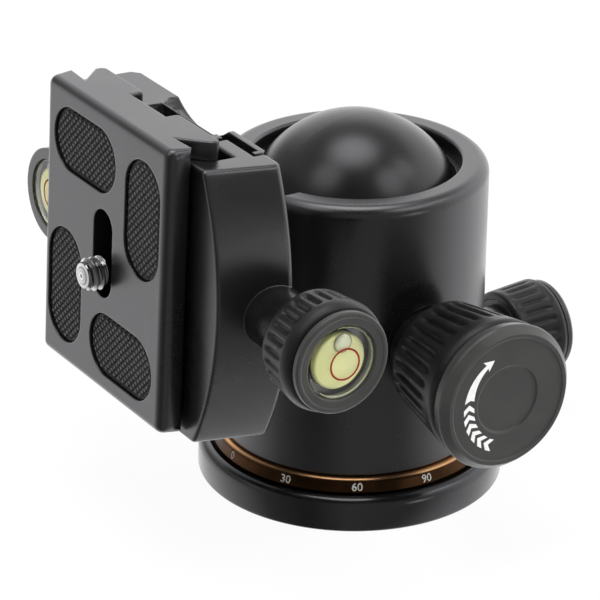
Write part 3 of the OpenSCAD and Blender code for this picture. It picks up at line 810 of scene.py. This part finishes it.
# %% [markdown]
# The base's shoulder is softer than the CAD model's. Its vertices lie on a small arc
# at the rim, and each moves to the same angle of a larger arc.

# %% Softer shoulder of the base
BASE_R, BASE_TOP = 30.0, 6.9
CAD_SHOULDER, SHOULDER = 1.5, 2.0
flange = bmesh.new()
flange.from_mesh(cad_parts["base_flange"].data)
flange.transform(MM.inverted())
bmesh.ops.remove_doubles(flange, verts=flange.verts, dist=0.001)
grow = SHOULDER / CAD_SHOULDER
for v in flange.verts:
    r = v.co.xy.length
    if r > BASE_R - CAD_SHOULDER - 0.01 and v.co.z > BASE_TOP - CAD_SHOULDER - 0.01:
        spread = ((r - BASE_R) * grow + BASE_R) / r
        v.co = (v.co.x * spread, v.co.y * spread, BASE_TOP + (v.co.z - BASE_TOP) * grow)
piece(
    "base_turned",
    flange,
    UPRIGHT,
    "base",
    gloss_black,
    ["base_flange"],
    sharp=30,
)

# %% [markdown]
# ## Ribbed grips
# Each knob wears a rubber sleeve, a little wider towards its cap, with ribs that run
# out before either end. The sleeve's outline is turned in many steps, and then its
# outer vertices sink where a groove lies. The groove fades in and out along the
# sleeve, so that it ends in a point, as the moulded one does.


# %% Grips
GRIP_ROWS, STEPS_PER_RIB = 24, 12
GRIP_LIP = 0.8


def grip_outline(rear, front, rear_r, front_r, bore_r, bevel):
    """The sleeve's outline, with enough rows along its wall for the grooves."""
    foot = rear + GRIP_LIP
    length = front - bevel - foot
    shares = [row / GRIP_ROWS for row in range(1, GRIP_ROWS)]
    return (
        [(bore_r, rear), (rear_r - GRIP_LIP, rear)]
        + arc((rear_r - GRIP_LIP, foot), GRIP_LIP, -90, 0, 5)[1:]
        + [(rear_r + (front_r - rear_r) * share, foot + length * share) for share in shares]
        + [(front_r, front - bevel), (front_r - 0.2, front - bevel * 0.6)]
        + [(front_r - 0.62, front - 0.15), (front_r - 0.8, front), (bore_r, front)]
    )


def ribbed_grip(rear, front, rear_r, front_r, core_r, ribs, depth, bevel, band):
    """A sleeve from rear to front. Its ribs end a band before the front bevel."""
    outline = grip_outline(rear, front, rear_r, front_r, core_r + 0.1, bevel)
    bm = lathe(outline, steps=ribs * STEPS_PER_RIB, closed=True)
    start, end = rear + 1.3, front - bevel - band
    for v in bm.verts:
        r = v.co.xy.length
        if r < core_r + 0.5 or not start < v.co.z < end:
            continue
        wave = 0.5 + 0.5 * math.cos(ribs * math.atan2(v.co.y, v.co.x))
        along = math.sin(math.pi * (v.co.z - start) / (end - start))
        sink = depth * wave**2.2 * min(1, along * 1.7) ** 0.8
        v.co.xy *= 1 - sink / r
    return bm


GRIPS = {
    "lock_knob": (AT_LOCK, dict(rear=30.2, front=48.2, rear_r=11.1, front_r=13.8)),
    "pan_knob": (AT_PAN, dict(rear=35.4, front=46.1, rear_r=9.2, front_r=9.8)),
    "clamp_knob": (AT_CLAMP_KNOB, dict(rear=44.5, front=54.3, rear_r=9.9, front_r=10.6)),
}
RIBS = {
    "lock_knob": dict(core_r=9.3, ribs=30, depth=0.8, bevel=1.4, band=2.6),
    "pan_knob": dict(core_r=7.6, ribs=26, depth=0.45, bevel=1.2, band=1.0),
    "clamp_knob": dict(core_r=7.9, ribs=26, depth=0.65, bevel=2.2, band=0.5),
}
for knob, (place, sleeve) in GRIPS.items():
    piece(
        f"{knob}_ribs",
        ribbed_grip(**sleeve, **RIBS[knob]),
        place,
        knob,
        grip_rubber,
        [f"{knob}_grip"],
        sharp=60,
    )

# %% [markdown]
# The clamp knob's bezel holds its level. On the photograph only a narrow edge of it
# stands out of the rubber, so it is turned anew with a slim collar, a flat face and
# the same well for the level.

# %% Bezel of the clamp knob
BEZEL_R, BEZEL_FOOT, BEZEL_TOP = 9.6, 51.5, 56.0
NECK_R, NECK_TOP = 7.8, 54.35
WELL_R, WELL_FLOOR = 7.05, 51.9
bezel = [(0, BEZEL_FOOT), (NECK_R, BEZEL_FOOT), (NECK_R, NECK_TOP)]
bezel += [(BEZEL_R - 0.25, NECK_TOP), (BEZEL_R, NECK_TOP + 0.35)]
bezel += arc((BEZEL_R - 0.5, BEZEL_TOP - 0.55), 0.5, 0, 90, 6)
bezel += [(BEZEL_R - 0.9, BEZEL_TOP - 0.08), (BEZEL_R - 1.1, BEZEL_TOP - 0.22)]
bezel += [(WELL_R + 0.2, BEZEL_TOP - 0.3), (WELL_R, BEZEL_TOP - 0.5)]
bezel += [(WELL_R, WELL_FLOOR), (0, WELL_FLOOR)]
piece(
    "clamp_knob_collar",
    lathe(bezel, 128),
    AT_CLAMP_KNOB,
    "clamp_knob",
    knob_plastic,
    ["clamp_knob_bezel"],
    sharp=30,
)

# %% [markdown]
# ## Marks on the lock knob
# The cap carries a white curved arrow: six chevrons, and ahead of them a tapering band
# with a pointed head. They are printed, so each mark is a thin plate of paint just
# proud of the face. Its points are found in polar form, because it runs round the knob.

# %% White arrow and chevrons
paint = Finish("mark_white")
paint_wear = paint.ease(paint.noise(900.0, 3.0), 0.3, 0.62)
paint.dress(
    Base_Color=paint.mix(paint_wear, (0.88, 0.88, 0.87, 1), (0.96, 0.96, 0.95, 1)),
    Roughness=paint.ease(paint_wear, 0, 1, 0.55, 0.42),
)
FACE, PAINT = 52.1, 0.03
CHEVRONS, CHEVRON_STEP, CHEVRON_HALF_W = 6, 12.6, 1.15


def polar(radius, degrees):
    """A point of the cap's face. Angles are read on the photograph, from the right."""
    turn = math.radians(degrees)
    return radius * math.cos(turn), radius * math.sin(turn)


def chevron(angle, middle, sweep=6.5, thick=7.0):
    """A chevron's outline, with its point at an angle and its ends a sweep behind."""
    inner, outer = middle - CHEVRON_HALF_W, middle + CHEVRON_HALF_W
    return [
        polar(outer, angle + sweep),
        polar(middle, angle),
        polar(inner, angle + sweep),
        polar(inner, angle + sweep + thick),
        polar(middle, angle + thick),
        polar(outer, angle + sweep + thick),
    ]


def band_edge(start_r, end_r, sweep, steps=12):
    """One edge of the tapering band, from the arrow's head towards the chevrons."""
    shares = [i / steps for i in range(steps + 1)]
    return [polar(start_r + (end_r - start_r) * k, 121.5 + sweep * k) for k in shares]


arrow = [polar(9.3, 110.3), polar(10.5, 123)] + band_edge(9.5, 9.6, 50.5)
arrow += [polar(8.5, 167.5)] + band_edge(8.75, 7.6, 47)[::-1] + [polar(8.0, 123)]
outlines = [arrow]
for i in range(CHEVRONS):
    outlines.append(chevron(173.5 + CHEVRON_STEP * i, 8.55 + 0.12 * i))
marks = [plate_of(outline, FACE - 0.01, PAINT) for outline in outlines]
piece("lock_marks", join(*marks), AT_LOCK, "lock_knob", paint)

# %% [markdown]
# ## The scale
# Numbers every thirty degrees run round the copper ring. A text object gives them,
# made a mesh at once. Each number is then wrapped: its width becomes an angle round
# the ring, and its height runs up the ring's slope.

# %% Scale numbers
SCALE_FOOT_R, SCALE_FOOT_Z = 27.4, 7.2
SCALE_LEAN = math.atan2(0.6, 1.86)
NUMBER_HEIGHT, NUMBER_FOOT = 1.55, 0.35
FIGURE_SHARE = 0.7  # of the font's size, how high its figures stand


def number(text):
    """A bmesh of one number, centred, its height along Y."""
    curve = bpy.data.curves.new("number", "FONT")
    curve.body, curve.size, curve.align_x = text, NUMBER_HEIGHT / FIGURE_SHARE, "CENTER"
    curve.resolution_u = 3
    curve.extrude, curve.offset = 0.02, 0.025
    typed = bpy.data.objects.new("number", curve)
    bpy.context.scene.collection.objects.link(typed)
    bpy.context.view_layer.update()
    drawn = typed.evaluated_get(bpy.context.evaluated_depsgraph_get())
    solid = bpy.data.meshes.new_from_object(drawn)
    bm = bmesh.new()
    bm.from_mesh(solid)
    bpy.data.objects.remove(typed)
    bpy.data.curves.remove(curve)
    bpy.data.meshes.remove(solid)
    bmesh.ops.remove_doubles(bm, verts=bm.verts, dist=1e-4)
    return bm


numbers = []
for turn in range(0, 360, 30):
    bm = number(str(turn))
    for v in bm.verts:
        angle = math.radians(turn - 180) + v.co.x / SCALE_FOOT_R
        climb = v.co.y + NUMBER_FOOT
        radius = SCALE_FOOT_R - climb * math.sin(SCALE_LEAN) + v.co.z
        v.co = (
            radius * math.cos(angle),
            radius * math.sin(angle),
            SCALE_FOOT_Z + climb * math.cos(SCALE_LEAN),
        )
    numbers.append(bm)
figures = Finish("scale_figures")
rub = figures.ease(figures.noise(1500.0), 0.3, 0.65)
figures.dress(
    Base_Color=figures.mix(rub, (0.42, 0.40, 0.36, 1), (0.62, 0.60, 0.55, 1)),
    Roughness=figures.ease(figures.noise(800.0), 0.3, 0.7, 0.4, 0.6),
)
piece("scale_numbers", join(*numbers), UPRIGHT, "base", figures)

# %% [markdown]
# ## Bubble levels
# A level is a clear acrylic disc with a round cell of pale liquid, an air bubble, and
# a ring to bring the bubble into. The liquid stands deeper than the disc's face, which
# is why the photograph shows a grey clear wall beside it. The disc is real glass for
# the camera, but it lets lamps through, so that the liquid behind it is lit.

# %% Level finishes
clear = Finish("clear_acrylic")
clear.dress(
    Base_Color=(0.97, 0.98, 0.97, 1),
    Roughness=clear.ease(clear.noise(300.0), 0.3, 0.7, 0.01, 0.04),
    IOR=1.49,
    Transmission_Weight=1.0,
)
shadow = clear.node("ShaderNodeLightPath").out("Is Shadow Ray")
through = clear.node("ShaderNodeBsdfTransparent")
glass = Wire(clear, clear.shader.outputs[0])
clear.surface(clear.node("ShaderNodeMixShader", {}, {0: shadow, 1: glass, 2: through}))

liquid = Finish("level_liquid")
swirl = liquid.ease(liquid.noise(160.0, 2.0), 0.3, 0.7)
liquid.dress(
    Base_Color=liquid.mix(swirl, (0.92, 0.93, 0.42, 1), (0.95, 0.95, 0.52, 1)),
    Roughness=liquid.ease(swirl, 0, 1, 0.18, 0.26),
    Subsurface_Weight=0.2,
    Subsurface_Radius=(1.0, 1.0, 0.4),
    Subsurface_Scale=0.001,
)
ring_red = Finish("level_ring")
fade = ring_red.ease(ring_red.noise(1200.0), 0.3, 0.7)
ring_red.dress(
    Base_Color=ring_red.mix(fade, (0.25, 0.012, 0.002, 1), (0.33, 0.02, 0.004, 1)),
    Roughness=0.7,
    Specular_IOR_Level=0.1,
)
frosted = Finish("frosted_side")
haze = frosted.ease(frosted.noise(400.0, 3.0), 0.3, 0.7)
frosted.dress(
    Base_Color=frosted.mix(haze, (0.42, 0.42, 0.40, 1), (0.50, 0.50, 0.48, 1)),
    Roughness=frosted.ease(haze, 0, 1, 0.5, 0.62),
)
air = Finish("level_bubble")
rim = air.ease(air.noise(500.0), 0.3, 0.7)
air.dress(
    Base_Color=air.mix(rim, (0.78, 0.79, 0.55, 1), (0.86, 0.87, 0.68, 1)),
    Roughness=0.08,
    Coat_Weight=0.6,
)
# painted reflection: a dark grey ring stands in for the dark rim that the bubble's curved
# surface shows
bubble_rim_reflection = Finish("level_bubble_dark_rim")
rim = bubble_rim_reflection.ease(bubble_rim_reflection.noise(700.0), 0.3, 0.7)
bubble_rim_reflection.dress(
    Base_Color=bubble_rim_reflection.mix(rim, (0.20, 0.20, 0.13, 1), (0.34, 0.34, 0.24, 1)),
    Roughness=0.2,
)


# %% The two levels
LEVEL_R = 6.95
CELL_R = LEVEL_R * 0.76
RING_IN, RING_OUT, RING_RISE = 2.75, 3.1, 0.03
BUBBLE_R, BUBBLE_RISE = 1.72, 0.42
GLINT_GAP = (8, 140)  # degrees round the rim where its bright line is hidden


def level_glass(floor, top):
    disc = [(0, floor), (LEVEL_R - 0.2, floor), (LEVEL_R, floor + 0.2)]
    disc += [(LEVEL_R, top - 0.35)] + arc((LEVEL_R - 0.35, top - 0.35), 0.35, 0, 90, 4)
    return lathe(disc + [(0, top)], 96)


def level_wall(floor, top):
    """The frosted side of the disc, just inside the clear one."""
    outer, inner = LEVEL_R - 0.1, LEVEL_R - 0.2
    wall = [(outer, top - 0.5), (outer, floor + 0.3), (inner, floor + 0.3)]
    return lathe(wall + [(inner, top - 0.5)], 96, True)


def level_cell(foot, top):
    """The liquid, as far as the bubble's underside."""
    cell = [(0, foot), (CELL_R - 0.3, foot), (CELL_R, foot + 0.3)]
    cell += arc((CELL_R - 0.5, top - 0.5), 0.5, 0, 90, 5)
    return lathe(cell + [(0, top + 0.12)], 64)


def level_glint(top):
    """A thin bright line round a part of the rim, where the glass gathers light."""
    glint = lathe(arc((LEVEL_R - 0.42, top - 0.3), 0.06, 0, 315, 7), 96, True)
    hidden = [
        v
        for v in glint.verts
        if GLINT_GAP[0] < math.degrees(math.atan2(v.co.y, v.co.x)) < GLINT_GAP[1]
    ]
    bmesh.ops.delete(glint, geom=hidden, context="VERTS")
    return glint


def level_ring(top):
    rise = top + RING_RISE
    return lathe([(RING_IN, top), (RING_OUT, top), (RING_OUT, rise), (RING_IN, rise)], 64, True)


def level_bubble():
    turns = (0.0, 0.25, 0.5, 0.8, 1.15)
    skin = [(BUBBLE_R * math.cos(t), BUBBLE_RISE * math.sin(t)) for t in turns]
    return lathe([(0, -0.1), (BUBBLE_R, -0.1)] + skin + [(0, BUBBLE_RISE)], 48)


def shift(bm, x, y, z=0):
    bmesh.ops.translate(bm, verts=bm.verts, vec=(x, y, z))
    return bm


def level(name, place, body, floor, top, ring_at, bubble_at):
    """A level upright round Z, between floor and top, with its bubble off the middle."""
    cell_top = top - 0.95
    ring = shift(level_ring(top), *ring_at)
    bubble = shift(level_bubble(), *bubble_at, cell_top + 0.1)
    # a thin dark ring round the bubble, a painted reflection of its rim
    bubble_dark_rim = lathe(arc((BUBBLE_R + 0.02, 0), 0.1, 0, 315, 7), 48, True)
    shift(bubble_dark_rim, *bubble_at, cell_top + 0.14)
    parts = [
        ("edge_light", level_glint(top), liquid),
        ("wall", level_wall(floor, top), frosted),
        ("glass", level_glass(floor, top), clear),
        ("liquid", level_cell(floor + 0.5, cell_top), liquid),
        ("ring", ring, ring_red),
        ("bubble", bubble, air),
        ("bubble_dark_rim", bubble_dark_rim, bubble_rim_reflection),
    ]
    for part, bm, finish in parts:
        stands_for = [f"{name}_vial"] if part == "glass" else ()
        piece(f"{name}_{part}", bm, place, body, finish, stands_for)


# up on the standing head is local X of the tilted one, so both bubbles float there
level(
    "knob_level",
    AT_CLAMP_KNOB,
    "clamp_knob",
    floor=51.95,
    top=55.3,
    ring_at=(-0.55, -0.85),
    bubble_at=(3.45, -0.45),
)
level(
    "side_level",
    AT_SIDE_LEVEL,
    "clamp",
    floor=43.95,
    top=47.2,
    ring_at=(0.0, 0.0),
    bubble_at=(3.3, 0.0),
)

# %% [markdown]
# ## Rubber pads
# Four pads with rounded ends lie in pockets of the plate. Their tops are cut into
# small diamonds by two sets of grooves at right angles. Bisecting a flat face along
# every groove gives clean edges, and then only the tops of the diamonds are raised.

# %% Pad with diamonds
PAD_L, PAD_W, PAD_TOP, PAD_FOOT = 22.8, 12.3, -0.25, -1.15
PITCH, GROOVE, FLANK = 1.13, 0.14, 0.16
RELIEF, BORDER = 0.4, 0.5
GROOVE_FLOOR = PAD_TOP - RELIEF
DIAGONAL = math.sqrt(0.5)


def obround(length, width, steps=20):
    """An outline with round ends, long in X."""
    half, r = (length - width) / 2, width / 2
    return arc((half, 0), r, -90, 90, steps) + arc((-half, 0), r, 90, 270, steps)


def off_middle(x, y):
    """How far a point of a pad lies from the line between its ends' centres."""
    return math.hypot(max(0.0, abs(x) - (PAD_L - PAD_W) / 2), y)


def patterned(face):
    """True for an upward face of the patterned middle, off the pad's plain border."""
    x, y, _ = face.calc_center_median()
    return face.normal.z > 0.9 and off_middle(x, y) < PAD_W / 2 - BORDER + 0.02


def diamond_pad():
    """A flat pad whose top is cut along every edge of its grooves."""
    bm = bmesh.new()
    outline = [bm.verts.new((x, y, GROOVE_FLOOR)) for x, y in obround(PAD_L, PAD_W)]
    made = bmesh.ops.extrude_face_region(bm, geom=[bm.faces.new(outline)])["geom"]
    foot = [v for v in made if isinstance(v, bmesh.types.BMVert)]
    bmesh.ops.translate(bm, verts=foot, vec=(0, 0, PAD_FOOT - GROOVE_FLOOR))
    bmesh.ops.recalc_face_normals(bm, faces=bm.faces)
    rim = [f for f in bm.faces if f.normal.z > 0.9]
    bmesh.ops.inset_region(bm, faces=rim, thickness=BORDER, use_even_offset=True)
    reach = int((PAD_L + PAD_W) / 2 / PITCH) + 1
    sides = (-GROOVE, GROOVE, GROOVE + FLANK, PITCH - GROOVE - FLANK)
    for across in (Vector((DIAGONAL, DIAGONAL, 0)), Vector((DIAGONAL, -DIAGONAL, 0))):
        for line in [i * PITCH + side for i in range(-reach, reach + 1) for side in sides]:
            middle = [f for f in bm.faces if patterned(f)]
            cut = {part for f in middle for part in (f, *f.edges, *f.verts)}
            bmesh.ops.bisect_plane(
                bm, geom=list(cut), dist=1e-5, plane_co=across * line, plane_no=across
            )
    return bm


def from_groove(along):
    """How far a place lies from the middle of the nearest groove."""
    return abs((along / PITCH + 0.5) % 1 - 0.5) * PITCH


def raise_diamonds(bm):
    for v in bm.verts:
        x, y, z = v.co
        if z < GROOVE_FLOOR - 0.01 or off_middle(x, y) > PAD_W / 2 - BORDER - 0.02:
            continue
        if min(from_groove(DIAGONAL * (x + y)), from_groove(DIAGONAL * (x - y))) > GROOVE + 0.02:
            v.co.z = PAD_TOP
    return bm


pad = raise_diamonds(diamond_pad())
pad_mesh = bpy.data.meshes.new("pad")
pad.to_mesh(pad_mesh)
pad.free()
PADS = {
    "pad_top": (17.8, 7.5, 90),
    "pad_bottom": (-17.8, -7.5, 90),
    "pad_front": (11.7, -13.9, 0),
    "pad_back": (-11.7, 13.9, 0),
}
for name, (x, y, turn) in PADS.items():
    bm = bmesh.new()
    bm.from_mesh(pad_mesh)
    place = ON_PLATE @ moved(x, y, 0) @ turned_by(turn, "Z")
    for face in bm.faces:
        # painted highlight: the diamonds' tops take the paler rubber, and the grooves keep the
        # darker one
        face.material_index = int(face.calc_center_median().z > PAD_TOP - 0.01)
    relief = piece(f"{name}_relief", bm, place, "plate", pad_rubber, [name], 25)
    relief.data.materials.append(pad_lit_tops.material)

# %% [markdown]
# ## Camera screw
# The screw is a quarter inch thick with twenty threads to the inch. One tooth of the
# thread is spun with a rise of one pitch a turn, which is how a screw cutting lathe
# works, and the ends are then cut flat. Towards the tip the thread is turned down to a
# chamfer, and a low dome closes it.

# %% Screw with a real thread
SCREW_R, THREAD_PITCH, THREAD_DEPTH = 3.175, 1.27, 0.62
THREAD_FOOT, CHAMFER_START, SCREW_TOP = 0.2, 3.15, 4.4
TIP_R, TIP_DOME, TIP_RINGS = 2.45, 0.34, 10
HEAD_FOOT, HEAD_R, HEAD_THICK, SHANK_R = -11.4, 5.7, 1.8, 2.5


def helix(foot, top, major, minor, pitch, steps=64):
    """A threaded rod, cut flat at two heights. Its tooth is given in shares of a pitch."""
    bm = bmesh.new()
    tooth = [(minor, 0), (minor, 0.12), (major, 0.46), (major, 0.58), (minor, 0.92), (minor, 1)]
    points = [bm.verts.new((r, 0, foot + (share - 1.5) * pitch)) for r, share in tooth]
    edges = [bm.edges.new(pair) for pair in zip(points, points[1:])]
    turns = math.ceil((top - foot) / pitch) + 2
    bmesh.ops.spin(
        bm,
        geom=points + edges,
        cent=(0, 0, 0),
        axis=(0, 0, 1),
        dvec=(0, 0, pitch / steps),
        angle=math.tau * turns,
        steps=steps * turns,
    )
    bmesh.ops.remove_doubles(bm, verts=bm.verts, dist=1e-3)
    for height, up in ((top, 1), (foot, -1)):
        bmesh.ops.bisect_plane(
            bm,
            geom=bm.verts[:] + bm.edges[:] + bm.faces[:],
            plane_co=(0, 0, height),
            plane_no=(0, 0, up),
            clear_outer=True,
        )
        rim = [
            e
            for e in bm.edges
            if e.is_boundary and all(abs(v.co.z - height) < 1e-4 for v in e.verts)
        ]
        bmesh.ops.contextual_create(bm, geom=rim)
    bmesh.ops.recalc_face_normals(bm, faces=bm.faces)
    return bm


def screw_tip():
    """A low dome with the fine rings that a lathe leaves."""
    rings = []
    for i in range(TIP_RINGS):
        dome = TIP_DOME * math.sin(math.pi / 2 * i / TIP_RINGS)
        height = SCREW_TOP - TIP_DOME + dome - 0.03 * (i % 2)
        rings.append((TIP_R * (1 - i / TIP_RINGS), height))
    foot = SCREW_TOP - 0.6
    return lathe([(0, foot), (TIP_R, foot)] + rings + [(0, SCREW_TOP)], 64)


def screw_shank():
    """The plain shank and the head under the plate."""
    top, head_top = THREAD_FOOT + 0.1, HEAD_FOOT + HEAD_THICK
    head = [(0, HEAD_FOOT), (HEAD_R - 0.2, HEAD_FOOT), (HEAD_R, HEAD_FOOT + 0.2)]
    head += [(HEAD_R, head_top - 0.2), (HEAD_R - 0.2, head_top), (SHANK_R, head_top)]
    return lathe(head + [(SHANK_R, top), (0, top)], 64)


thread = helix(THREAD_FOOT, SCREW_TOP - 0.35, SCREW_R, SCREW_R - THREAD_DEPTH, THREAD_PITCH)
for v in thread.verts:
    limit = SCREW_R - max(0.0, v.co.z - CHAMFER_START) * 0.9
    if v.co.xy.length > limit:
        v.co.xy *= limit / v.co.xy.length
piece(
    "camera_screw_thread",
    join(thread, screw_tip(), screw_shank()),
    AT_SCREW,
    "camera_screw",
    chrome,
    ["camera_screw"],
)

# %% [markdown]
# ## Floor
# The head stands on a white table. The camera sees it as white with a faint shadow of
# the head, and it throws light back up. Reflections look past it into the room.

# %% Floor
floor_bm = bmesh.new()
bmesh.ops.create_circle(floor_bm, cap_ends=True, segments=96, radius=0.9)
floor_mesh = bpy.data.meshes.new("floor")
floor_bm.to_mesh(floor_mesh)
floor_bm.free()
floor = bpy.data.objects.new("floor", floor_mesh)
bpy.context.scene.collection.objects.link(floor)
floor.visible_glossy = False
table_top = Finish("table_top")
table_top.dress(Base_Color=(0.92, 0.92, 0.92, 1), Roughness=0.9)
white = table_top.node("ShaderNodeEmission", {}, {"Color": WHITE, "Strength": 1.0})
share = table_top.node("ShaderNodeLightPath").out("Is Camera Ray") * 0.95
matt = Wire(table_top, table_top.shader.outputs[0])
table_top.surface(table_top.node("ShaderNodeMixShader", {}, {0: share, 1: matt, 2: white}))
floor_mesh.materials.append(table_top.material)
